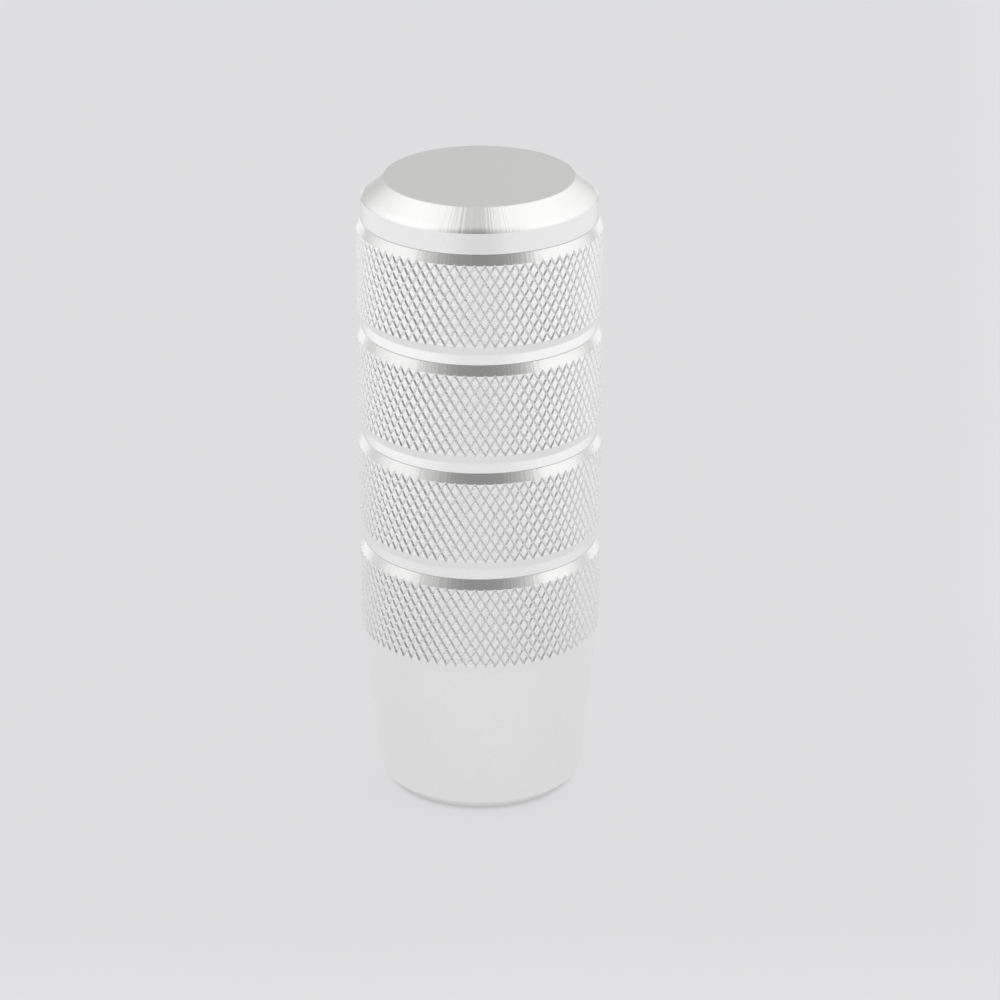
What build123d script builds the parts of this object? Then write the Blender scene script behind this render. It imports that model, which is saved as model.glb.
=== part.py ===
"""Turned aluminium gear shift knob with four knurled grip bands and a screw-in thread adapter.

The origin is the centre of the foot. +Z runs up the knob to its flat top. Lengths are in millimetres.
"""
from build123d import *

import os
from math import atan2, cos, hypot, pi, radians, sin, tan

# Grip bands and the grooves between them
band_diameter = 35.0
band_length = 11.9
band_count = 4
groove_diameter = 33.7
groove_floor_length = 1.5
flank_length = 1.45
groove_corner_radius = 0.5

# Diamond knurl on the bands: teeth round the knob, half rows of teeth along a band
knurl_teeth = 72
knurl_half_rows = 9
knurl_depth = 0.35
knurl_end_step = 0.05

# Head
head_diameter = 33.7
head_length = 3.05
shoulder_bevel_height = 0.55
shoulder_bevel_depth = 0.45
shoulder_radius = 4.5
shoulder_round_share = 0.95
head_chamfer_height = 2.2
top_flat_diameter = 27.0
top_edge_radius = 0.5

# Skirt and foot
skirt_length = 23.5
skirt_top_diameter = 34.0
skirt_bottom_diameter = 29.8
foot_chamfer_height = 1.85
foot_diameter = 26.0
skirt_edge_radius = 0.6
foot_edge_radius = 0.2

# Thread adapter, an M16 bush with an M10 lever thread, and the hole that holds it
adapter_diameter = 16.0
adapter_length = 18.0
adapter_recess = 2.0
adapter_clearance = 0.05
adapter_edge_chamfer = 0.5
lever_thread_diameter = 8.38
lever_lead_in = 0.8
driver_slot_width = 2.5
driver_slot_depth = 2.0

# Drilled hole above the adapter, for the end of the lever
drill_diameter = 14.5
drill_depth = 34.0
drill_point_angle = 118.0
mouth_chamfer = 0.6


def turned(points):
    """Closed face in the XZ plane through (radius, height) points, ready to revolve about Z."""
    return make_face(Plane.XZ * Polyline(*points, close=True))


def rounded(face, radius, height, edge_radius):
    """Face with the corner nearest to (radius, height) rounded."""
    corner = face.vertices().sort_by_distance((radius, 0, height))[0]
    return fillet(corner, edge_radius)


def band_bottoms():
    """Heights of the lower ends of the grip bands, from the lowest band up."""
    pitch = band_length + 2 * flank_length + groove_floor_length
    return [skirt_length + flank_length + number * pitch for number in range(band_count)]


def shoulder_round():
    """Radius between the head's bevel and chamfer, limited to a round that stays within the bevel."""
    bevel = atan2(shoulder_bevel_height, shoulder_bevel_depth)
    chamfer_depth = (head_diameter - top_flat_diameter) / 2 - shoulder_bevel_depth
    half_turn = abs(bevel - atan2(head_chamfer_height, chamfer_depth)) / 2
    reach = shoulder_round_share * hypot(shoulder_bevel_height, shoulder_bevel_depth)
    return min(shoulder_radius, reach / tan(half_turn))


def knob_blank():
    """Solid turned blank: foot, skirt, seats of the knurled bands with grooves between them, and head."""
    seat_radius = band_diameter / 2 - knurl_depth - knurl_end_step
    points = [
        (0, 0),
        (foot_diameter / 2, 0),
        (skirt_bottom_diameter / 2, foot_chamfer_height),
        (skirt_top_diameter / 2, skirt_length),
    ]
    corners = []
    for bottom in band_bottoms():
        top = bottom + band_length
        if bottom != band_bottoms()[0]:
            corners.append((groove_diameter / 2, bottom - flank_length))
            points.append(corners[-1])
        points.append((seat_radius, bottom))
        points.append((seat_radius, top))
        if bottom != band_bottoms()[-1]:
            corners.append((groove_diameter / 2, top + flank_length))
            points.append(corners[-1])
    corners.append((head_diameter / 2, band_bottoms()[-1] + band_length + flank_length))
    shoulder = corners[-1][1] + head_length
    bevel = (head_diameter / 2 - shoulder_bevel_depth, shoulder + shoulder_bevel_height)
    top = bevel[1] + head_chamfer_height
    points += [
        corners[-1],
        (head_diameter / 2, shoulder),
        bevel,
        (top_flat_diameter / 2, top),
        (0, top),
    ]
    section = turned(points)
    for corner in corners:
        section = rounded(section, *corner, groove_corner_radius)
    section = rounded(section, *bevel, shoulder_round())
    section = rounded(section, top_flat_diameter / 2, top, top_edge_radius)
    section = rounded(section, skirt_bottom_diameter / 2, foot_chamfer_height, skirt_edge_radius)
    section = rounded(section, foot_diameter / 2, 0, foot_edge_radius)
    return revolve(section, Axis.Z)


def knurl_level(number, bottom):
    """Points round a band at one half row: tooth tips and groove crossings in turn, swapped on odd rows."""
    height = bottom + band_length * number / knurl_half_rows
    points = []
    for step in range(2 * knurl_teeth):
        is_tip = (step + number) % 2 == 0
        radius = band_diameter / 2 if is_tip else band_diameter / 2 - knurl_depth
        angle = pi * step / knurl_teeth
        points.append((radius * cos(angle), radius * sin(angle), height))
    return points


def flat_face(points):
    """Flat face with straight edges through the points."""
    return Face(Wire.make_polygon(points, close=True))


def knurled_band(bottom):
    """Solid disc with a diamond knurl round its rim, where each tooth has four flat sides."""
    levels = [knurl_level(number, bottom) for number in range(knurl_half_rows + 1)]
    faces = [flat_face(levels[0]), flat_face(levels[-1])]
    for number in range(knurl_half_rows):
        low, high = levels[number], levels[number + 1]
        for step in range(2 * knurl_teeth):
            after = (step + 1) % (2 * knurl_teeth)
            if (step + number) % 2 == 0:
                faces.append(flat_face([low[step], low[after], high[step]]))
                faces.append(flat_face([high[after], high[step], low[after]]))
            else:
                faces.append(flat_face([low[after], high[after], low[step]]))
                faces.append(flat_face([high[step], low[step], high[after]]))
    return Solid(Shell(faces))


def adapter_hole():
    """Stepped blind hole from below: chamfered mouth, adapter seat, drilled hole and drill point."""
    mouth = adapter_diameter / 2 + mouth_chamfer
    shoulder = adapter_recess + adapter_length
    drill_point = drill_diameter / 2 / tan(radians(drill_point_angle / 2))
    points = [
        (0, 0),
        (mouth, 0),
        (adapter_diameter / 2, mouth_chamfer),
        (adapter_diameter / 2, shoulder),
        (drill_diameter / 2, shoulder),
        (drill_diameter / 2, drill_depth),
        (0, drill_depth + drill_point),
    ]
    return revolve(turned(points), Axis.Z)


def knob_body():
    """Turned and drilled blank with its knurled bands."""
    body = knob_blank()
    return (body + [knurled_band(bottom) for bottom in band_bottoms()]) - adapter_hole()


def thread_adapter():
    """Bush with chamfered ends, a lever bore and a screwdriver slot across its lower face."""
    outer = adapter_diameter / 2 - adapter_clearance
    inner = lever_thread_diameter / 2
    bottom = adapter_recess
    top = adapter_recess + adapter_length
    points = [
        (inner + lever_lead_in, bottom),
        (outer - adapter_edge_chamfer, bottom),
        (outer, bottom + adapter_edge_chamfer),
        (outer, top - adapter_edge_chamfer),
        (outer - adapter_edge_chamfer, top),
        (inner, top),
        (inner, bottom + lever_lead_in),
    ]
    bush = revolve(turned(points), Axis.Z)
    slot = Pos(Z=bottom) * Box(
        adapter_diameter, driver_slot_width, driver_slot_depth, align=(Align.CENTER, Align.CENTER, Align.MIN)
    )
    return bush - slot


os.makedirs("parts", exist_ok=True)
export_step(knob_body(), "parts/knob_body.step")
export_step(thread_adapter(), "parts/thread_adapter.step")
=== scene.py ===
"""Looks of a gear shift knob: turned and knurled aluminium body, brass thread adapter and a small studio."""
import logging
import math
from dataclasses import dataclass, field
from enum import Enum

import bmesh
import bpy
import numpy as np
from mathutils import Matrix, Vector


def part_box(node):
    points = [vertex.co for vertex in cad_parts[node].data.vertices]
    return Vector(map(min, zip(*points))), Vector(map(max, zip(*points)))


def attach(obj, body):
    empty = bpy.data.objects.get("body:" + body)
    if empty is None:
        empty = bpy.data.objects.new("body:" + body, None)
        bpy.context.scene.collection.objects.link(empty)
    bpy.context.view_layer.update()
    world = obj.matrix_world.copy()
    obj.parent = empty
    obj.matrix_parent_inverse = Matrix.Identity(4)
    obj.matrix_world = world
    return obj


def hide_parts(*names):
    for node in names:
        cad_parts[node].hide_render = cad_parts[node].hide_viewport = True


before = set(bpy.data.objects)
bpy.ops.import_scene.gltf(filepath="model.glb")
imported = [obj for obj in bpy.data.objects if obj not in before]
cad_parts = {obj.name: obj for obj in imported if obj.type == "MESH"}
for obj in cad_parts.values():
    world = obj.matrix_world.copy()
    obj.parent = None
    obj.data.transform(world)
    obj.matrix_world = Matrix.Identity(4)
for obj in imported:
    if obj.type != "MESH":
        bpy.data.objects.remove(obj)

LOG = logging.getLogger("shift_knob")
MM = 0.001
FULL_TURN = 2 * math.pi
KNURL_ATTRIBUTE = "knurl"
# name of the attribute that holds 1 less the painted shade of each point
UNSHADED_ATTRIBUTE = "unshaded"


class Slot(Enum):
    """The record's material slots."""

    BODY = "anodised_aluminium"
    ADAPTER = "turned_brass"


class Side(Enum):
    """Which side of the camera a softbox stands on, as the sign of X."""

    LEFT = -1
    RIGHT = 1


def linear(hex_colour: str) -> tuple[float, float, float, float]:
    """Turns an sRGB hex colour into linear RGBA.

    Args:
        hex_colour: six hex digits after a #.

    Returns:
        Linear red, green and blue, with alpha 1.
    """
    srgb = np.array([int(hex_colour[start:start + 2], 16) / 255 for start in (1, 3, 5)])
    rgb = np.where(srgb <= 0.04045, srgb / 12.92, ((srgb + 0.055) / 1.055) ** 2.4)
    return (*rgb.tolist(), 1.0)


def add_node(
    tree: bpy.types.NodeTree,
    kind: str,
    values: dict | None = None,
    links: dict | None = None,
    **settings: object,
) -> bpy.types.Node:
    """Adds a node with its settings, its fixed input values and the links that come into it.

    Args:
        tree: node tree that takes the node.
        kind: the node's type name.
        values: fixed value for each input, by the input's name or number.
        links: output socket for each linked input, by the input's name or number.
        settings: the node's own properties.

    Returns:
        The new node.
    """
    node = tree.nodes.new(kind)
    for name, setting in settings.items():
        setattr(node, name, setting)
    for name, value in (values or {}).items():
        node.inputs[name].default_value = value
    for name, socket in (links or {}).items():
        tree.links.new(socket, node.inputs[name])
    return node


def new_material(name: str) -> tuple[bpy.types.Material, bpy.types.NodeTree]:
    """Makes an empty node material.

    Args:
        name: the material's name.

    Returns:
        The material and its node tree.
    """
    material = bpy.data.materials.new(name)
    material.use_nodes = True
    material.node_tree.nodes.clear()
    return material, material.node_tree


def per_mm(size_mm: float) -> float:
    """Scale of a noise texture, on coordinates in metres, whose features are size_mm across."""
    return 1 / (size_mm * MM)


@dataclass(frozen=True)
class AnodisedAluminium:
    """Turned aluminium, blasted and clear anodised: a pale satin metal with wide soft reflections.

    The blasted grain is strongest on the knurl, where the teeth sparkle. Painted shade darkens the knurl's
    groove bottoms, the creases, the head's neck and the groove floors.
    The tool's chatter breaks the reflections on the cones into streaks. Grain and chatter are drawn about
    twice as coarse as they are, so that they show.
    """

    name: str = "clear_anodised_aluminium"
    pale: str = "#FDFDFC"
    # dark end of the tone, for the random grain and for painted shade
    grain_and_painted_shade: str = "#8C8C8C"
    plain_tone: float = 0.95
    knurl_tone: float = 0.72
    grain_reach: tuple[float, float] = (0.3, 0.48)
    roughness: float = 0.22
    knurl_roughness: float = 0.28
    grain_mm: float = 0.26
    grain_height_mm: float = 0.06
    plain_grain_share: float = 0.02
    chatter_mm: float = 0.4
    chatter_height_mm: float = 0.025
    chatter_radius_mm: float = 17.0
    cone_rise: tuple[float, float] = (0.2, 0.35)
    flat_rise: tuple[float, float] = (0.85, 0.95)

    def material(self) -> bpy.types.Material:
        """Builds the material: grain and tool chatter as bump, grain and painted shade as tone.

        Returns:
            The finished material.
        """
        material, tree = new_material(self.name)
        place = add_node(tree, "ShaderNodeTexCoord").outputs["Object"]
        knurl = add_node(tree, "ShaderNodeAttribute", attribute_name=KNURL_ATTRIBUTE).outputs["Fac"]
        grain = add_node(
            tree, "ShaderNodeTexNoise", {"Scale": per_mm(self.grain_mm), "Detail": 2.0}, {"Vector": place}
        ).outputs["Fac"]
        grain_share = add_node(
            tree, "ShaderNodeMapRange", {"To Min": self.plain_grain_share, "To Max": 1.0}, {"Value": knurl}
        ).outputs["Result"]
        blasted = add_node(
            tree,
            "ShaderNodeBump",
            {"Distance": self.grain_height_mm * MM},
            {"Height": grain, "Strength": grain_share},
        ).outputs["Normal"]
        normal = add_node(
            tree,
            "ShaderNodeBump",
            {"Distance": self.chatter_height_mm * MM},
            {"Height": self.chatter(tree, place), "Strength": self.cone_share(tree), "Normal": blasted},
        ).outputs["Normal"]
        colour = add_node(tree, "ShaderNodeValToRGB", links={"Fac": self.tone(tree, grain, knurl)})
        colour.color_ramp.elements[0].color = linear(self.grain_and_painted_shade)
        colour.color_ramp.elements[1].color = linear(self.pale)
        gloss = add_node(
            tree,
            "ShaderNodeMapRange",
            {"To Min": self.roughness, "To Max": self.knurl_roughness},
            {"Value": knurl},
        ).outputs["Result"]
        shader = add_node(
            tree,
            "ShaderNodeBsdfPrincipled",
            {"Metallic": 1.0},
            {"Base Color": colour.outputs["Color"], "Roughness": gloss, "Normal": normal},
        )
        add_node(tree, "ShaderNodeOutputMaterial", links={"Surface": shader.outputs["BSDF"]})
        return material

    def tone(
        self, tree: bpy.types.NodeTree, grain: bpy.types.NodeSocket, knurl: bpy.types.NodeSocket
    ) -> bpy.types.NodeSocket:
        """Adds the place between the dark colour and pale: the grain's tone, wider on the knurl, times the
        unshaded share, so that painted shade darkens the grooves, creases, neck and groove floors.

        Args:
            tree: node tree that takes the nodes.
            grain: the grain's height, 0 to 1.
            knurl: 1 on the knurl, 0 elsewhere.

        Returns:
            The place, 0 for the dark colour to 1 for pale.
        """
        lowest = add_node(
            tree,
            "ShaderNodeMapRange",
            {"To Min": self.plain_tone, "To Max": self.knurl_tone},
            {"Value": knurl},
        ).outputs["Result"]
        speckle = add_node(
            tree,
            "ShaderNodeMapRange",
            {"From Min": self.grain_reach[0], "From Max": self.grain_reach[1], "To Max": 1.0},
            {"Value": grain, "To Min": lowest},
        ).outputs["Result"]
        # painted shade: the tone is multiplied by the unshaded share, 1 less the painted shade
        unshaded = add_node(tree, "ShaderNodeAttribute", attribute_name=UNSHADED_ATTRIBUTE).outputs["Fac"]
        return add_node(
            tree, "ShaderNodeMath", links={0: speckle, 1: unshaded}, operation="MULTIPLY"
        ).outputs["Value"]

    def chatter(self, tree: bpy.types.NodeTree, place: bpy.types.NodeSocket) -> bpy.types.NodeSocket:
        """Adds the turning tool's chatter: noise on the direction from the axis, the same all along it.

        Args:
            tree: node tree that takes the nodes.
            place: the object coordinates.

        Returns:
            The chatter's height, 0 to 1.
        """
        flat = add_node(
            tree, "ShaderNodeVectorMath", {1: (1.0, 1.0, 0.0)}, {0: place}, operation="MULTIPLY"
        ).outputs["Vector"]
        outward = add_node(
            tree, "ShaderNodeVectorMath", links={0: flat}, operation="NORMALIZE"
        ).outputs["Vector"]
        scale = self.chatter_radius_mm / self.chatter_mm
        return add_node(
            tree, "ShaderNodeTexNoise", {"Scale": scale, "Detail": 2.0}, {"Vector": outward}
        ).outputs["Fac"]

    def cone_share(self, tree: bpy.types.NodeTree) -> bpy.types.NodeSocket:
        """Adds the share of chatter: full on surfaces that lean, none on upright walls and flat ends.

        Args:
            tree: node tree that takes the nodes.

        Returns:
            The share, 0 to 1.
        """
        facing = add_node(tree, "ShaderNodeNewGeometry").outputs["Normal"]
        rise = add_node(tree, "ShaderNodeSeparateXYZ", links={0: facing}).outputs["Z"]
        lean = add_node(tree, "ShaderNodeMath", links={0: rise}, operation="ABSOLUTE").outputs["Value"]
        off_wall = add_node(
            tree,
            "ShaderNodeMapRange",
            {"From Min": self.cone_rise[0], "From Max": self.cone_rise[1]},
            {"Value": lean},
        ).outputs["Result"]
        return add_node(
            tree,
            "ShaderNodeMapRange",
            {"From Min": self.flat_rise[0], "From Max": self.flat_rise[1], "To Max": 0.0},
            {"Value": lean, "To Min": off_wall},
        ).outputs["Result"]


@dataclass(frozen=True)
class TurnedBrass:
    """Free-cutting brass, turned and left bare: a warm yellow metal with fine rings from the tool."""

    name: str = "turned_brass"
    pale: str = "#E8CB8C"
    shade: str = "#CFAE68"
    roughness: float = 0.3
    roughness_spread: float = 0.06
    ring_mm: float = 0.22
    ring_height_mm: float = 0.004
    cloud_mm: float = 3.0

    def material(self) -> bpy.types.Material:
        """Builds the material: rings round the axis as bump, clouds as slight tone and gloss.

        Returns:
            The finished material.
        """
        material, tree = new_material(self.name)
        place = add_node(tree, "ShaderNodeTexCoord").outputs["Object"]
        axes = add_node(tree, "ShaderNodeSeparateXYZ", links={0: place}).outputs
        flat = add_node(tree, "ShaderNodeCombineXYZ", links={"X": axes["X"], "Y": axes["Y"]})
        reach = add_node(
            tree, "ShaderNodeVectorMath", links={0: flat.outputs["Vector"]}, operation="LENGTH"
        ).outputs["Value"]
        section = add_node(tree, "ShaderNodeCombineXYZ", links={"X": reach, "Y": axes["Z"]})
        rings = add_node(
            tree,
            "ShaderNodeTexNoise",
            {"Scale": per_mm(self.ring_mm), "Detail": 2.0},
            {"Vector": section.outputs["Vector"]},
        ).outputs["Fac"]
        cloud = add_node(
            tree, "ShaderNodeTexNoise", {"Scale": per_mm(self.cloud_mm), "Detail": 4.0}, {"Vector": place}
        ).outputs["Fac"]
        normal = add_node(
            tree, "ShaderNodeBump", {"Distance": self.ring_height_mm * MM}, {"Height": rings}
        ).outputs["Normal"]
        colour = add_node(tree, "ShaderNodeValToRGB", links={"Fac": cloud})
        colour.color_ramp.elements[0].color = linear(self.shade)
        colour.color_ramp.elements[1].color = linear(self.pale)
        gloss = add_node(
            tree,
            "ShaderNodeMapRange",
            {
                "To Min": self.roughness - self.roughness_spread,
                "To Max": self.roughness + self.roughness_spread,
            },
            {"Value": rings},
        ).outputs["Result"]
        shader = add_node(
            tree,
            "ShaderNodeBsdfPrincipled",
            {"Metallic": 1.0},
            {"Base Color": colour.outputs["Color"], "Roughness": gloss, "Normal": normal},
        )
        add_node(tree, "ShaderNodeOutputMaterial", links={"Surface": shader.outputs["BSDF"]})
        return material


@dataclass(frozen=True)
class OpalAcrylic:
    """Opal acrylic sheet of a light table: an even pale ground, lit from below, that keeps a soft shadow.

    Painted light: its glow grows softly in front of the knob and towards the sides, where it starts further
    out
    the further back it lies. Painted shadow: a mask under the knob's foot keeps the light out of its
    overhang.
    """

    name: str = "opal_acrylic"
    pale: str = "#6A6A6A"
    shade: str = "#666666"
    glow: str = "#FBFBFD"
    glow_strength: float = 0.647
    # painted light: extra glow in front of the knob and towards the sides
    front_painted_light: float = 0.07
    side_painted_light: float = 0.22
    # painted shadow: the glow fades in between these radii round the knob's foot
    painted_shadow_edge_mm: tuple[float, float] = (10.5, 14.4)
    front_reach_mm: tuple[float, float] = (-10.0, -140.0)
    side_reach_mm: tuple[float, float] = (55.0, 165.0)
    side_spread: float = 0.11
    roughness: float = 0.9
    cloud_mm: float = 40.0

    def material(self) -> bpy.types.Material:
        """Builds the material: very slight clouds on a matt sheet that glows, with painted light and a
        painted shadow in its glow.

        Returns:
            The finished material.
        """
        material, tree = new_material(self.name)
        place = add_node(tree, "ShaderNodeTexCoord").outputs["Object"]
        cloud = add_node(
            tree, "ShaderNodeTexNoise", {"Scale": per_mm(self.cloud_mm), "Detail": 2.0}, {"Vector": place}
        ).outputs["Fac"]
        colour = add_node(tree, "ShaderNodeValToRGB", links={"Fac": cloud})
        colour.color_ramp.elements[0].color = linear(self.shade)
        colour.color_ramp.elements[1].color = linear(self.pale)
        axes = add_node(tree, "ShaderNodeSeparateXYZ", links={0: place}).outputs
        aside = add_node(tree, "ShaderNodeMath", links={0: axes["X"]}, operation="ABSOLUTE").outputs["Value"]
        spread = add_node(
            tree,
            "ShaderNodeMath",
            {1: -self.side_spread},
            {0: axes["Y"], 2: aside},
            operation="MULTIPLY_ADD",
        ).outputs["Value"]
        # painted pools of light, beside and in front of the knob
        beside = self.ease(tree, spread, self.side_reach_mm, self.side_painted_light)
        ahead = self.ease(tree, axes["Y"], self.front_reach_mm, self.front_painted_light)
        painted_light = add_node(
            tree, "ShaderNodeMath", links={0: beside, 1: ahead}, operation="MAXIMUM"
        ).outputs["Value"]
        lit = add_node(
            tree, "ShaderNodeMath", {1: self.glow_strength}, {0: painted_light}, operation="ADD"
        ).outputs["Value"]
        reach = add_node(tree, "ShaderNodeVectorMath", links={0: place}, operation="LENGTH").outputs["Value"]
        # painted shadow under the knob's foot
        outside_painted_shadow = self.ease(tree, reach, self.painted_shadow_edge_mm)
        strength = add_node(
            tree, "ShaderNodeMath", links={0: lit, 1: outside_painted_shadow}, operation="MULTIPLY"
        ).outputs["Value"]
        shader = add_node(
            tree,
            "ShaderNodeBsdfPrincipled",
            {
                "Roughness": self.roughness,
                "Specular IOR Level": 0.0,
                "Emission Color": linear(self.glow),
            },
            {"Base Color": colour.outputs["Color"], "Emission Strength": strength},
        )
        add_node(tree, "ShaderNodeOutputMaterial", links={"Surface": shader.outputs["BSDF"]})
        return material

    def ease(
        self,
        tree: bpy.types.NodeTree,
        place: bpy.types.NodeSocket,
        reach_mm: tuple[float, float],
        highest: float = 1.0,
    ) -> bpy.types.NodeSocket:
        """Adds a smooth rise from 0 between two places.

        Args:
            tree: node tree that takes the node.
            place: the place, in metres.
            reach_mm: where the rise starts and ends, in mm.
            highest: the value where it ends.

        Returns:
            The rise, 0 to highest.
        """
        return add_node(
            tree,
            "ShaderNodeMapRange",
            {"From Min": reach_mm[0] * MM, "From Max": reach_mm[1] * MM, "To Max": highest},
            {"Value": place},
            interpolation_type="SMOOTHSTEP",
        ).outputs["Result"]


@dataclass(frozen=True)
class Corner:
    """A corner of a turned profile, in mm: distance from the axis, height, rounding radius and painted shade
    along the rounding.
    """

    reach: float
    height: float
    round: float = 0.0
    painted_shade: float = 0.0


def turned_profile(
    corners: list[Corner], arc_step: float = math.radians(6), hold: float = 0.12
) -> np.ndarray:
    """Works out the points of a profile with its corners rounded.

    A rounded corner is an arc that touches both of its sides, in steps of at most arc_step. A point at the
    distance hold beyond each end of the arc keeps the sides flat in the shading. A point's unshaded share is
    1, less the corner's painted shade times half a sine wave along the arc: painted shade in the crease.

    Args:
        corners: the profile's corners, in order; the first and the last are not rounded.
        arc_step: largest turn between two points of an arc, in radians.
        hold: distance of the holding points, in mm.

    Returns:
        Points as rows of reach and height, in mm, and unshaded share, 1 less the painted shade.
    """
    places = np.array([(corner.reach, corner.height) for corner in corners])
    parts, unshaded = [], []
    for number, corner in enumerate(corners):
        place = places[number]
        if not corner.round:
            parts.append(place[None])
            unshaded.append(np.ones(1))
            continue
        back = (places[number - 1] - place) / np.linalg.norm(places[number - 1] - place)
        ahead = (places[number + 1] - place) / np.linalg.norm(places[number + 1] - place)
        half = math.acos(float(back @ ahead)) / 2
        touch = corner.round / math.tan(half)
        middle = back + ahead
        centre = place + middle / np.linalg.norm(middle) * corner.round / math.sin(half)
        first, last = place + back * touch - centre, place + ahead * touch - centre
        turn = math.atan2(first[0] * last[1] - first[1] * last[0], float(first @ last))
        share = np.linspace(0, 1, math.ceil(abs(turn) / arc_step) + 1)
        angles = math.atan2(first[1], first[0]) + turn * share
        arc = centre + corner.round * np.stack([np.cos(angles), np.sin(angles)], axis=1)
        parts += [(place + back * (touch + hold))[None], arc, (place + ahead * (touch + hold))[None]]
        # painted shade along the arc of the crease
        unshaded += [np.ones(1), 1 - corner.painted_shade * np.sin(math.pi * share), np.ones(1)]
    return np.column_stack([np.concatenate(parts), np.concatenate(unshaded)])


def thread_wave(phase: np.ndarray) -> np.ndarray:
    """Works out a screw thread's profile over one pitch: flat crest, straight flank, narrow root, flank.

    Args:
        phase: place along the pitch; whole numbers are one pitch apart.

    Returns:
        0 on the crest to 1 at the root.
    """
    crest_share, root_share = 0.25, 0.125
    from_root = np.abs(phase - np.floor(phase) - 0.5)
    flank_share = (1 - crest_share - root_share) / 2
    return np.clip((flank_share + root_share / 2 - from_root) / flank_share, 0, 1)


def round_points(reach: np.ndarray, angle: np.ndarray, height: np.ndarray) -> np.ndarray:
    """Turns reach, angle and height about Z into a list of points, in the arrays' own order and units."""
    return np.stack([reach * np.cos(angle), reach * np.sin(angle), height], axis=-1).reshape(-1, 3)


def write_mesh(name: str, points_mm: np.ndarray, faces: list[np.ndarray]) -> bpy.types.Mesh:
    """Puts points and faces into a new mesh.

    Args:
        name: the mesh's name.
        points_mm: points as rows of X, Y and Z, in mm.
        faces: arrays of point numbers, one row a face; each array holds faces of one number of sides.

    Returns:
        The new mesh, in metres.
    """
    mesh = bpy.data.meshes.new(name)
    sides = np.concatenate([np.full(len(group), group.shape[1]) for group in faces])
    corners = np.concatenate([group.ravel() for group in faces])
    mesh.vertices.add(len(points_mm))
    mesh.vertices.foreach_set("co", (points_mm * MM).astype(np.float32).ravel())
    mesh.loops.add(len(corners))
    mesh.loops.foreach_set("vertex_index", corners.astype(np.int32))
    mesh.polygons.add(len(sides))
    mesh.polygons.foreach_set("loop_start", (np.cumsum(sides) - sides).astype(np.int32))
    mesh.polygons.foreach_set("loop_total", sides.astype(np.int32))
    mesh.update(calc_edges=True)
    return mesh


def shade(mesh: bpy.types.Mesh, sharp_deg: float) -> None:
    """Shades a mesh smooth, apart from edges that turn by more than sharp_deg."""
    mesh.polygons.foreach_set("use_smooth", np.ones(len(mesh.polygons), dtype=bool))
    mesh.set_sharp_from_angle(angle=math.radians(sharp_deg))


def merge_points(mesh: bpy.types.Mesh, reach_mm: float = 0.0005) -> None:
    """Merges points that fall together and drops the faces that this leaves without area.

    Args:
        mesh: the mesh to tidy.
        reach_mm: largest distance between points that are merged.
    """
    work = bmesh.new()
    work.from_mesh(mesh)
    bmesh.ops.remove_doubles(work, verts=work.verts, dist=reach_mm * MM)
    bmesh.ops.dissolve_degenerate(work, edges=work.edges, dist=reach_mm * MM)
    work.to_mesh(mesh)
    work.free()


def place_piece(name: str, mesh: bpy.types.Mesh, node: str) -> bpy.types.Object:
    """Puts a mesh into the scene as the piece that stands for a CAD node.

    Args:
        name: the piece's name.
        mesh: the piece's mesh, in its place.
        node: the CAD node that it stands for.

    Returns:
        The new object.
    """
    piece = bpy.data.objects.new(name, mesh)
    bpy.context.scene.collection.objects.link(piece)
    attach(piece, "root")
    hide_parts(node)
    return piece


@dataclass
class Knurl:
    """Diamond knurl rolled into a band: flat-topped teeth between two crossing sets of grooves, in mm."""

    teeth: int = 78
    half_rows: int = 10
    groove_width: float = 0.38
    left_climbing_depth: float = 0.21
    right_climbing_depth: float = 0.16
    # painted shade in each set's groove bottoms, stronger for the left-climbing set
    left_climbing_painted_shade: float = 0.24
    right_climbing_painted_shade: float = 0.16
    end_share: float = 0.4
    crown: float = 0.04

    def columns(self, round_pitch: float, along_pitch: float) -> np.ndarray:
        """Works out where the columns of points stand within one tooth pitch, as shares of it.

        The pitch square to the grooves is the product of the two pitches over their hypotenuse.

        Args:
            round_pitch: pitch of the teeth round the band.
            along_pitch: pitch of the teeth along the band.

        Returns:
            The groove's bottom, its near edge, the middle of the tooth and the next groove's edge.
        """
        square_pitch = round_pitch * along_pitch / math.hypot(round_pitch, along_pitch)
        groove_share = self.groove_width / 2 / square_pitch
        return np.array([0.0, groove_share, 0.5, 1 - groove_share])


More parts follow.
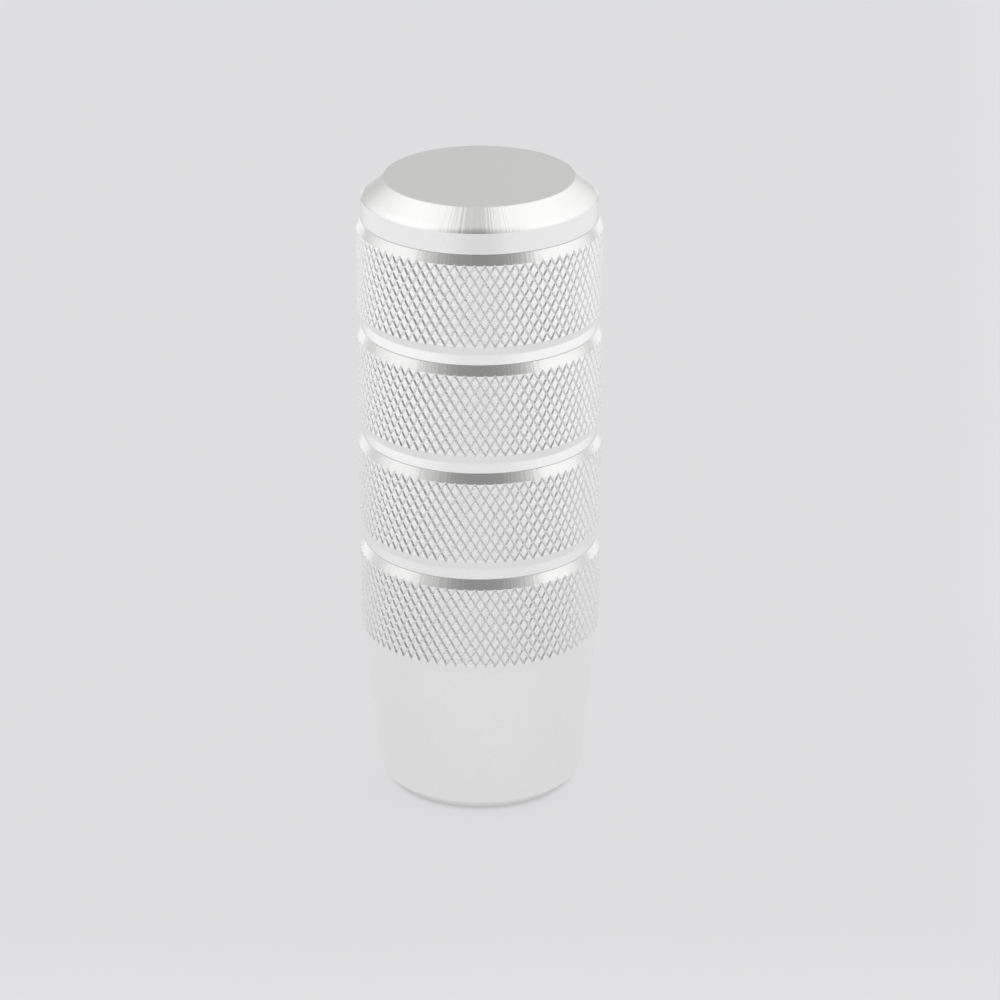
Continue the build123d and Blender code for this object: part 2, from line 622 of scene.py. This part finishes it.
@dataclass
class KnobBody:
    """The knob's body: foot, tapered skirt, four knurled bands, the grooves between them, head and hole.

    Sizes are in mm. The band's radius and the height come from the CAD node.
    """

    node: str = "knob_body"
    band_length: float = 11.9
    band_count: int = 4
    groove_radius: float = 16.85
    groove_floor: float = 1.5
    groove_round: float = 0.5
    # painted shade, as shares taken off the tone: along the creases, on the groove floors and on the head's
    # neck
    crease_painted_shade: float = 0.5
    floor_painted_shade: float = 0.01
    neck_painted_shade: float = 0.16
    flank: float = 1.45
    notch_row: float = 0.3
    head_radius: float = 16.85
    head_length: float = 3.05
    bevel_height: float = 0.6
    bevel_depth: float = 0.5
    bevel_round: float = 3.0
    top_flat_radius: float = 13.5
    top_round: float = 0.5
    top_rings: tuple[float, ...] = (0.6, 0.2, 0.02)
    skirt_length: float = 23.5
    skirt_top_radius: float = 17.0
    skirt_bottom_radius: float = 14.9
    skirt_round: float = 0.6
    foot_chamfer: float = 1.85
    foot_radius: float = 13.0
    foot_round: float = 0.2
    seat_radius: float = 8.0
    seat_top: float = 20.0
    mouth_chamfer: float = 0.6
    recess: float = 2.0
    seat_thread_pitch: float = 1.5
    seat_thread_depth: float = 0.8
    seat_row_step: float = 0.1
    seat_fade_rows: int = 4
    mouth_fade_rows: int = 3
    drill_radius: float = 7.25
    drill_depth: float = 34.0
    drill_point_deg: float = 118.0
    drill_tip_share: float = 0.02
    sharp_deg: float = 9.5
    knurl: Knurl = field(default_factory=Knurl)
    band_radius: float = field(init=False)
    height: float = field(init=False)
    columns: np.ndarray = field(init=False)

    def __post_init__(self) -> None:
        """Takes the band's radius and the height from the CAD node, and places the columns of points."""
        low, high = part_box(self.node)
        self.band_radius = (high.x - low.x) / 2 / MM
        self.height = high.z / MM
        round_pitch = FULL_TURN * self.band_radius / self.knurl.teeth
        self.columns = self.knurl.columns(round_pitch, 2 * self.band_length / self.knurl.half_rows)

    def ticks(self, count: int) -> np.ndarray:
        """Works out the first count columns' places round the knob, in teeth.

        Args:
            count: how many columns.

        Returns:
            One place for each column.
        """
        number = np.arange(count)
        return number // len(self.columns) + self.columns[number % len(self.columns)]

    def column_count(self) -> int:
        """Number of columns of points round the knob."""
        return self.knurl.teeth * len(self.columns)

    def band_turn(self) -> float:
        """How far a column moves round from a band's lower end to its upper end, in teeth."""
        return self.knurl.half_rows / 2

    def band_bottoms(self) -> list[float]:
        """Heights of the bands' lower ends, from the lowest band up."""
        pitch = self.band_length + 2 * self.flank + self.groove_floor
        return [self.skirt_length + self.flank + number * pitch for number in range(self.band_count)]

    def plain_rows(self, profile: np.ndarray, bands_below: int) -> np.ndarray:
        """Carries a profile round the axis: each point becomes a ring.

        Args:
            profile: points as rows of reach, height and, if any is painted with shade, the unshaded share.
            bands_below: how many knurled bands have moved the columns round so far.

        Returns:
            Reach, angle, height and unshaded share of each ring's points: rings by columns by four.
        """
        places = self.ticks(self.column_count()) + bands_below * self.band_turn()
        angle = np.broadcast_to(places * FULL_TURN / self.knurl.teeth, (len(profile), len(places)))
        unshaded = profile[:, 2:] if profile.shape[1] > 2 else np.ones((len(profile), 1))
        values = (profile[:, :1], angle, profile[:, 1:2], unshaded)
        return np.stack([np.broadcast_to(value, angle.shape) for value in values], axis=-1)

    def band_rows(self, number: int, low_run: float, high_run: float) -> np.ndarray:
        """Works out a knurled band on a grid that leans with one set of grooves.

        A point's two parameters count grooves of the two sets: their mean is its place round the band and
        half their difference its place along it. It lies at the band's radius, less its set's groove depth
        where a parameter is whole, and with a low crown between the grooves. At the band's ends the grooves
        are shallower, and points below the tops move out along the neighbouring flank, so the grooves run
        out as small notches. In a groove, a point's unshaded share is 1 less its set's painted shade.

        Args:
            number: the band's number, from the lowest.
            low_run: length of the lower flank for each mm of its depth.
            high_run: length of the upper flank for each mm of its depth.

        Returns:
            Reach, angle, height and unshaded share of the points: rows by columns by four.
        """
        count = self.column_count()
        steps = self.knurl.half_rows * len(self.columns)
        ticks = self.ticks(count + steps)
        column, step = np.arange(count)[None], np.arange(steps + 1)[:, None]
        first, second = ticks[column + step], np.broadcast_to(ticks[column], (steps + 1, count))
        knurl = self.knurl
        left, right = first == np.floor(first), second == np.floor(second)
        groove = np.maximum(left * knurl.left_climbing_depth, right * knurl.right_climbing_depth)
        # painted shade in the groove bottoms, set by set
        painted_shade = np.maximum(left * knurl.left_climbing_painted_shade, right * knurl.right_climbing_painted_shade)
        top = np.sin(math.pi * (first % 1)) * np.sin(math.pi * (second % 1))
        depth = np.maximum(knurl.crown * (1 - top), groove)
        depth[[0, -1]] *= knurl.end_share
        places = (first + second) / 2 + number * self.band_turn()
        along = (first - second) / knurl.half_rows
        height = self.band_bottoms()[number] + self.band_length * along
        height[0] -= depth[0] * low_run
        height[-1] += depth[-1] * high_run
        angle = places * FULL_TURN / knurl.teeth
        return np.stack([self.band_radius - depth, angle, height, 1 - painted_shade], axis=-1)

    def hole_rows(self) -> np.ndarray:
        """Works out the blind hole from its drill point down to its mouth, with the seat's thread in sight.

        The thread's reach is the seat's radius less the depth of the thread wave, which climbs one pitch a
        turn and fades out towards the adapter and the mouth.

        Returns:
            Reach, angle, height and cleanness of the points: rows by columns by four.
        """
        point = self.drill_radius / math.tan(math.radians(self.drill_point_deg / 2))
        tip = self.drill_tip_share
        inner = np.array([
            (self.drill_radius * tip, self.drill_depth + point * (1 - tip)),
            (self.drill_radius, self.drill_depth),
            (self.drill_radius, self.seat_top),
            (self.seat_radius, self.seat_top),
            (self.seat_radius, self.recess),
        ])
        step = self.seat_row_step
        heights = np.arange(self.recess - step, self.mouth_chamfer - step / 2, -step)
        seat = self.plain_rows(np.stack([np.full_like(heights, self.seat_radius), heights], axis=1), 0)
        wave = 1 - thread_wave(seat[..., 2] / self.seat_thread_pitch - seat[..., 1] / FULL_TURN)
        fade = np.clip((self.recess - seat[..., 2]) / (self.seat_fade_rows * step), 0, 1)
        above_mouth = seat[..., 2] - self.mouth_chamfer
        mouth_fade = np.clip(above_mouth / (self.mouth_fade_rows * step), 0, 1)
        seat[..., 0] -= self.seat_thread_depth * wave * fade * mouth_fade
        return np.concatenate([self.plain_rows(inner, 0), seat])

    def foot_profile(self) -> np.ndarray:
        """Works out the section from the hole's mouth over the foot and skirt to the first band's end.

        Returns:
            Points as rows of reach, height and unshaded share.
        """
        return turned_profile([
            Corner(self.seat_radius + self.mouth_chamfer, 0),
            Corner(self.foot_radius, 0, self.foot_round),
            Corner(self.skirt_bottom_radius, self.foot_chamfer, self.skirt_round),
            Corner(self.skirt_top_radius, self.skirt_length),
            self.notch_corner(self.skirt_top_radius, self.band_bottoms()[0], -1),
        ])

    def notch_corner(self, flank_radius: float, band_end: float, direction: int) -> Corner:
        """Works out the point of a flank just beyond the notches of a band's end.

        The flank falls evenly from the band's radius to flank_radius, over the flank's length.

        Args:
            flank_radius: radius at the flank's far end.
            band_end: height of the band's end.
            direction: 1 where the flank lies above the band, -1 below.

        Returns:
            The point, as a corner that isn't rounded.
        """
        drop = (self.band_radius - flank_radius) * self.notch_row / self.flank
        return Corner(self.band_radius - drop, band_end + direction * self.notch_row)

    def with_painted_shade(self, painted_shade: float, corners: list[Corner]) -> np.ndarray:
        """Works out a profile with painted shade on its groove floor or neck.

        Args:
            painted_shade: how much painted shade darkens the floor or neck.
            corners: the profile's corners; the second one starts the floor or neck.

        Returns:
            Points as rows of reach, height and unshaded share.
        """
        profile = turned_profile(corners)
        # painted shade on the floor or neck
        profile[:, 2] -= painted_shade * np.isclose(profile[:, 0], corners[1].reach)
        return profile

    def groove_profile(self, band_top: float) -> np.ndarray:
        """Works out the section of the groove above a band, between its neighbours' ends.

        Args:
            band_top: height of the band's upper end.

        Returns:
            Points as rows of reach, height and unshaded share.
        """
        floor = band_top + self.flank
        next_bottom = floor + self.groove_floor + self.flank
        return self.with_painted_shade(self.floor_painted_shade, [
            self.notch_corner(self.groove_radius, band_top, 1),
            Corner(self.groove_radius, floor, self.groove_round, self.crease_painted_shade),
            Corner(self.groove_radius, floor + self.groove_floor, self.groove_round),
            self.notch_corner(self.groove_radius, next_bottom, -1),
        ])

    def head_profile(self, band_top: float) -> np.ndarray:
        """Works out the section of the head, from above the last band's end to the middle of the flat top.

        Args:
            band_top: height of the last band's upper end.

        Returns:
            Points as rows of reach, height and unshaded share.
        """
        neck = band_top + self.flank
        shoulder = neck + self.head_length
        return self.with_painted_shade(self.neck_painted_shade, [
            self.notch_corner(self.head_radius, band_top, 1),
            Corner(self.head_radius, neck, self.groove_round, self.crease_painted_shade),
            Corner(self.head_radius, shoulder),
            Corner(self.head_radius - self.bevel_depth, shoulder + self.bevel_height, self.bevel_round),
            Corner(self.top_flat_radius, self.height, self.top_round),
            *(Corner(self.top_flat_radius * share, self.height) for share in self.top_rings),
        ])

    def rows(self) -> tuple[np.ndarray, np.ndarray]:
        """Stacks all rows of the body, from the hole's drill point round the foot and up to the top.

        Returns:
            Reach, angle, height and unshaded share of the points, and for each row whether a knurled strip
            starts there.
        """
        parts = [self.hole_rows(), self.plain_rows(self.foot_profile(), 0)]
        knurled = [np.zeros(len(part), dtype=bool) for part in parts]
        depth = self.band_radius - self.groove_radius
        for number, bottom in enumerate(self.band_bottoms()):
            low_depth = depth if number else self.band_radius - self.skirt_top_radius
            band = self.band_rows(number, self.flank / low_depth, self.flank / depth)
            last = number == self.band_count - 1
            above = (self.head_profile if last else self.groove_profile)(bottom + self.band_length)
            parts += [band, self.plain_rows(above, number + 1)]
            knurled += [np.arange(len(band)) < len(band) - 1, np.zeros(len(above), dtype=bool)]
        return np.concatenate(parts), np.concatenate(knurled)

    def build(self) -> bpy.types.Object:
        """Builds the body: one closed surface of rows joined in strips, closed by a fan at each end.

        Returns:
            The body's object.
        """
        grid, knurled = self.rows()
        row_count, count = grid.shape[:2]
        ends = np.array([(0, 0, grid[0, 0, 2]), (0, 0, self.height)])
        points = np.concatenate([round_points(grid[..., 0], grid[..., 1], grid[..., 2]), ends])
        low = np.arange(row_count * count).reshape(row_count, count)
        right = np.roll(low, -1, axis=1)
        plain, rolled = ~knurled[:-1], knurled[:-1]
        quads = np.stack([low[:-1], right[:-1], right[1:], low[1:]], axis=-1)[plain].reshape(-1, 4)
        near = np.stack([low[:-1], right[:-1], low[1:]], axis=-1)[rolled].reshape(-1, 3)
        far = np.stack([right[:-1], right[1:], low[1:]], axis=-1)[rolled].reshape(-1, 3)
        drill_tip, top_centre = len(points) - 2, len(points) - 1
        first_fan = np.stack([np.full(count, drill_tip), right[0], low[0]], axis=-1)
        last_fan = np.stack([low[-1], right[-1], np.full(count, top_centre)], axis=-1)
        mesh = write_mesh(self.node, points, [quads, near, far, first_fan, last_fan])
        shade(mesh, self.sharp_deg)
        inside = np.concatenate([np.repeat(knurled & np.roll(knurled, 1), count), [0, 0]])
        # unshaded share of each point: 1 less the painted shade
        unshaded = np.concatenate([grid[..., 3].ravel(), [1, 1]])
        for name, share in ((KNURL_ATTRIBUTE, inside), (UNSHADED_ATTRIBUTE, unshaded)):
            values = mesh.attributes.new(name, "FLOAT", "POINT").data
            values.foreach_set("value", share.astype(np.float32))
        return place_piece("turned_body", mesh, self.node)

    def dress(self, piece: bpy.types.Object, finish: AnodisedAluminium) -> None:
        """Gives the body its finish."""
        piece.data.materials.append(finish.material())


@dataclass
class ThreadAdapter:
    """Screw-in bush that carries the lever's thread, with a screwdriver slot across its lower face, in mm.

    Its outer radius and its ends come from the CAD node.
    """

    node: str = "thread_adapter"
    edge_chamfer: float = 0.5
    lead_in: float = 0.8
    thread_radius: float = 4.19
    thread_depth: float = 0.81
    thread_pitch: float = 1.5
    thread_fade: float = 0.5
    rows_per_pitch: int = 12
    slot_width: float = 2.5
    slot_depth: float = 2.0
    slot_columns: int = 9
    land_columns: int = 45
    sharp_deg: float = 20.0
    radius: float = field(init=False)
    bottom: float = field(init=False)
    top: float = field(init=False)

    def __post_init__(self) -> None:
        """Takes the outer radius and the ends from the CAD node."""
        low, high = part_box(self.node)
        self.radius = (high.x - low.x) / 2 / MM
        self.bottom = low.z / MM
        self.top = high.z / MM

    def profile(self) -> np.ndarray:
        """Works out the bush's closed section: down the bore, out over the lower face, up the wall and in.

        Returns:
            Points as rows of reach and height.
        """
        slot_floor = self.bottom + self.slot_depth
        count = round((self.top - slot_floor) / self.thread_pitch * self.rows_per_pitch)
        heights = np.linspace(self.top, slot_floor, count + 1)
        bore = np.stack([np.full_like(heights, self.thread_radius), heights], axis=1)
        rest = np.array([
            (self.thread_radius, self.bottom + self.lead_in),
            (self.thread_radius + self.lead_in, self.bottom),
            (self.radius - self.edge_chamfer, self.bottom),
            (self.radius, self.bottom + self.edge_chamfer),
            (self.radius, slot_floor),
            (self.radius, self.top - self.edge_chamfer),
            (self.radius - self.edge_chamfer, self.top),
        ])
        return np.concatenate([bore, rest])

    def build(self) -> bpy.types.Object:
        """Builds the bush on a grid of section points by columns round the axis.

        The columns beside the slot follow its straight edges: their angle is the arcsine of half the slot's
        width over the reach. Columns within the slot stop at its floor, so the strips between the two sets
        of columns are the slot's walls. The bore's reach grows by the thread wave, which climbs one pitch a
        turn and fades out at both ends. Points that fall together are merged.

        Returns:
            The bush's object.
        """
        section = self.profile()
        across, along = np.linspace(-1, 1, self.slot_columns), np.linspace(0, 1, self.land_columns)
        half_turns = np.concatenate([0 * across, along, 0 * across + 1, along + 1])
        edge_share = np.concatenate([across, 1 - 2 * along, across, 1 - 2 * along])
        in_slot = np.concatenate([0 * across + 1, 0 * along, 0 * across + 1, 0 * along]) > 0
        edge = np.arcsin(self.slot_width / 2 / section[:, :1])
        angle = half_turns * math.pi + edge_share * edge
        reach = np.broadcast_to(section[:, :1], angle.shape).copy()
        height = np.broadcast_to(section[:, 1:], angle.shape).copy()
        slot_floor = self.bottom + self.slot_depth
        fade = np.clip(np.minimum(height - slot_floor, self.top - height) / self.thread_fade, 0, 1)
        in_bore = reach <= self.thread_radius
        wave = thread_wave(height / self.thread_pitch - angle / FULL_TURN)
        reach += in_bore * self.thread_depth * fade * wave
        height = np.where(in_slot, np.maximum(height, slot_floor), height)
        low = np.arange(angle.size).reshape(angle.shape)
        right, after = np.roll(low, -1, axis=1), np.roll(low, -1, axis=0)
        quads = np.stack([low, right, np.roll(right, -1, axis=0), after], axis=-1).reshape(-1, 4)
        mesh = write_mesh(self.node, round_points(reach, angle, height), [quads])
        merge_points(mesh)
        shade(mesh, self.sharp_deg)
        return place_piece("lever_thread_bush", mesh, self.node)

    def dress(self, piece: bpy.types.Object, finish: TurnedBrass) -> None:
        """Gives the bush its finish."""
        piece.data.materials.append(finish.material())


@dataclass
class Softbox:
    """A large flat softbox beside and above the knob, facing it, in metres.

    Its width runs up and over towards the top of the studio, and its length runs past the knob from front to
    back. The shares place its edges from its middle, each as a share of its distance. A grid in front of it
    dims it evenly with the tangent of the viewing angle, to nothing at half the spread.
    """

    side: Side
    distance: float = 2.0
    tilt_deg: float = 45.0
    low_share: float = -0.75
    high_share: float = 0.69
    front_share: float = -0.56
    back_share: float = 2.2
    spread_deg: float = 120.0
    radiance: float = 0.55

    def build(self) -> bpy.types.Object:
        """Makes the area lamp whose face, seen straight on, shines with the softbox's radiance.

        Its power is the radiance times pi times its area, and times 1 less half the spread over the tangent
        of half the spread, because the grid gathers its light towards the front.

        Returns:
            The lamp's object.
        """
        width = self.distance * (self.high_share - self.low_share)
        length = self.distance * (self.back_share - self.front_share)
        lamp = bpy.data.lights.new(f"softbox_{self.side.name.lower()}", "AREA")
        lamp.shape = "RECTANGLE"
        lamp.size = width
        lamp.size_y = length
        half_spread = math.radians(self.spread_deg) / 2
        lamp.spread = 2 * half_spread
        straight_share = 1 - half_spread / math.tan(half_spread)
        lamp.energy = self.radiance * straight_share * math.pi * width * length
        tilt = math.radians(self.tilt_deg)
        towards = Vector((self.side.value * math.cos(tilt), 0, math.sin(tilt)))
        upward = Vector((-self.side.value * math.sin(tilt), 0, math.cos(tilt)))
        centre = towards + upward * (self.low_share + self.high_share) / 2
        centre += Vector((0, (self.front_share + self.back_share) / 2, 0))
        axes = Matrix((upward, towards.cross(upward), towards)).transposed()
        box = bpy.data.objects.new(lamp.name, lamp)
        box.matrix_world = Matrix.Translation(centre * self.distance) @ axes.to_4x4()
        bpy.context.scene.collection.objects.link(box)
        return box


@dataclass
class Studio:
    """Floor, softboxes, pale surroundings and the camera at the photograph's viewing angle."""

    floor_rings: tuple[float, ...] = (0.001, 0.05, 0.3, 1.0, 6.0)
    floor_columns: int = 96
    tent: str = "#C6C6C6"
    camera_side: str = "#8A8A8A"
    camera_side_elevation_deg: float = 36.0
    camera_side_inner_deg: float = 12.0
    camera_side_outer_deg: float = 48.0
    aim_mm: tuple[float, float, float] = (2.88, 0.0, 43.4)
    orbit_height_mm: float = 46.0
    camera_distance_mm: float = 600.0
    camera_elevation_deg: float = 22.89
    focal_length_px: float = 4136.7
    image_px: float = 1000.0
    sensor_mm: float = 36.0
    softboxes: tuple[Softbox, ...] = (
        Softbox(Side.LEFT),
        Softbox(
            Side.RIGHT, high_share=0.81, front_share=-0.68, back_share=3.0, spread_deg=150.0, radiance=0.48
        ),
    )

    def build(self) -> None:
        """Builds everything around the knob."""
        self.build_floor()
        for softbox in self.softboxes:
            softbox.build()
        self.build_surroundings()
        self.build_camera()

    def build_floor(self) -> bpy.types.Object:
        """Builds the floor: rings of points about the knob, joined in strips, at the knob's foot.

        Returns:
            The floor's object.
        """
        reach = np.array(self.floor_rings)[:, None] / MM
        angle = np.linspace(0, FULL_TURN, self.floor_columns, endpoint=False)[None] + 0 * reach
        points = round_points(reach, angle, 0 * angle)
        low = np.arange(angle.size).reshape(angle.shape)
        right = np.roll(low, -1, axis=1)
        quads = np.stack([low[:-1], low[1:], right[1:], right[:-1]], axis=-1).reshape(-1, 4)
        mesh = write_mesh("floor", points, [quads, low[:1]])
        mesh.materials.append(OpalAcrylic().material())
        floor = bpy.data.objects.new("floor", mesh)
        bpy.context.scene.collection.objects.link(floor)
        return floor

    def build_surroundings(self) -> None:
        """Makes the pale surroundings, which darken towards the camera's side of the studio.

        The tone goes over smoothly with the cosine of the angle from the middle of that side.
        """
        world = bpy.data.worlds.new("studio")
        bpy.context.scene.world = world
        world.use_nodes = True
        tree = world.node_tree
        tree.nodes.clear()
        elevation = math.radians(self.camera_side_elevation_deg)
        front = (0.0, -math.cos(elevation), math.sin(elevation))
        direction = add_node(tree, "ShaderNodeTexCoord").outputs["Generated"]
        facing = add_node(
            tree, "ShaderNodeVectorMath", {1: front}, {0: direction}, operation="DOT_PRODUCT"
        ).outputs["Value"]
        share = add_node(
            tree,
            "ShaderNodeMapRange",
            {
                "From Min": math.cos(math.radians(self.camera_side_outer_deg)),
                "From Max": math.cos(math.radians(self.camera_side_inner_deg)),
            },
            {"Value": facing},
            interpolation_type="SMOOTHSTEP",
        ).outputs["Result"]
        colour = add_node(tree, "ShaderNodeValToRGB", links={"Fac": share})
        colour.color_ramp.elements[0].color = linear(self.tent)
        colour.color_ramp.elements[1].color = linear(self.camera_side)
        shine = add_node(tree, "ShaderNodeBackground", links={"Color": colour.outputs["Color"]})
        add_node(tree, "ShaderNodeOutputWorld", links={"Surface": shine.outputs["Background"]})

    def build_camera(self) -> bpy.types.Object:
        """Makes the camera where a fit to the photograph's edges puts it.

        It stands at its distance and elevation from a point on the knob's axis and looks at the aim point.

        Returns:
            The camera's object.
        """
        lens = bpy.data.cameras.new("photo_camera")
        lens.sensor_width = self.sensor_mm
        lens.lens = self.focal_length_px / self.image_px * self.sensor_mm
        camera = bpy.data.objects.new("photo_camera", lens)
        elevation = math.radians(self.camera_elevation_deg)
        place = Vector((0, -math.cos(elevation), math.sin(elevation))) * self.camera_distance_mm
        place += Vector((0, 0, self.orbit_height_mm))
        turn = (Vector(self.aim_mm) - place).to_track_quat("-Z", "Y").to_matrix()
        camera.matrix_world = Matrix.Translation(place * MM) @ turn.to_4x4()
        bpy.context.scene.collection.objects.link(camera)
        bpy.context.scene.camera = camera
        return camera


def main() -> None:
    """Builds the knob's pieces and the studio."""
    logging.basicConfig(level=logging.INFO, format="%(name)s: %(message)s")
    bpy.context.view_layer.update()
    bpy.context.scene.view_settings.view_transform = "Standard"
    for maker, finish in ((KnobBody(), AnodisedAluminium()), (ThreadAdapter(), TurnedBrass())):
        piece = maker.build()
        maker.dress(piece, finish)
        LOG.info("%s: %d faces, %s", piece.name, len(piece.data.polygons), finish.name)
    Studio().build()
    LOG.info("studio built")


if __name__ == "__main__":
    main()
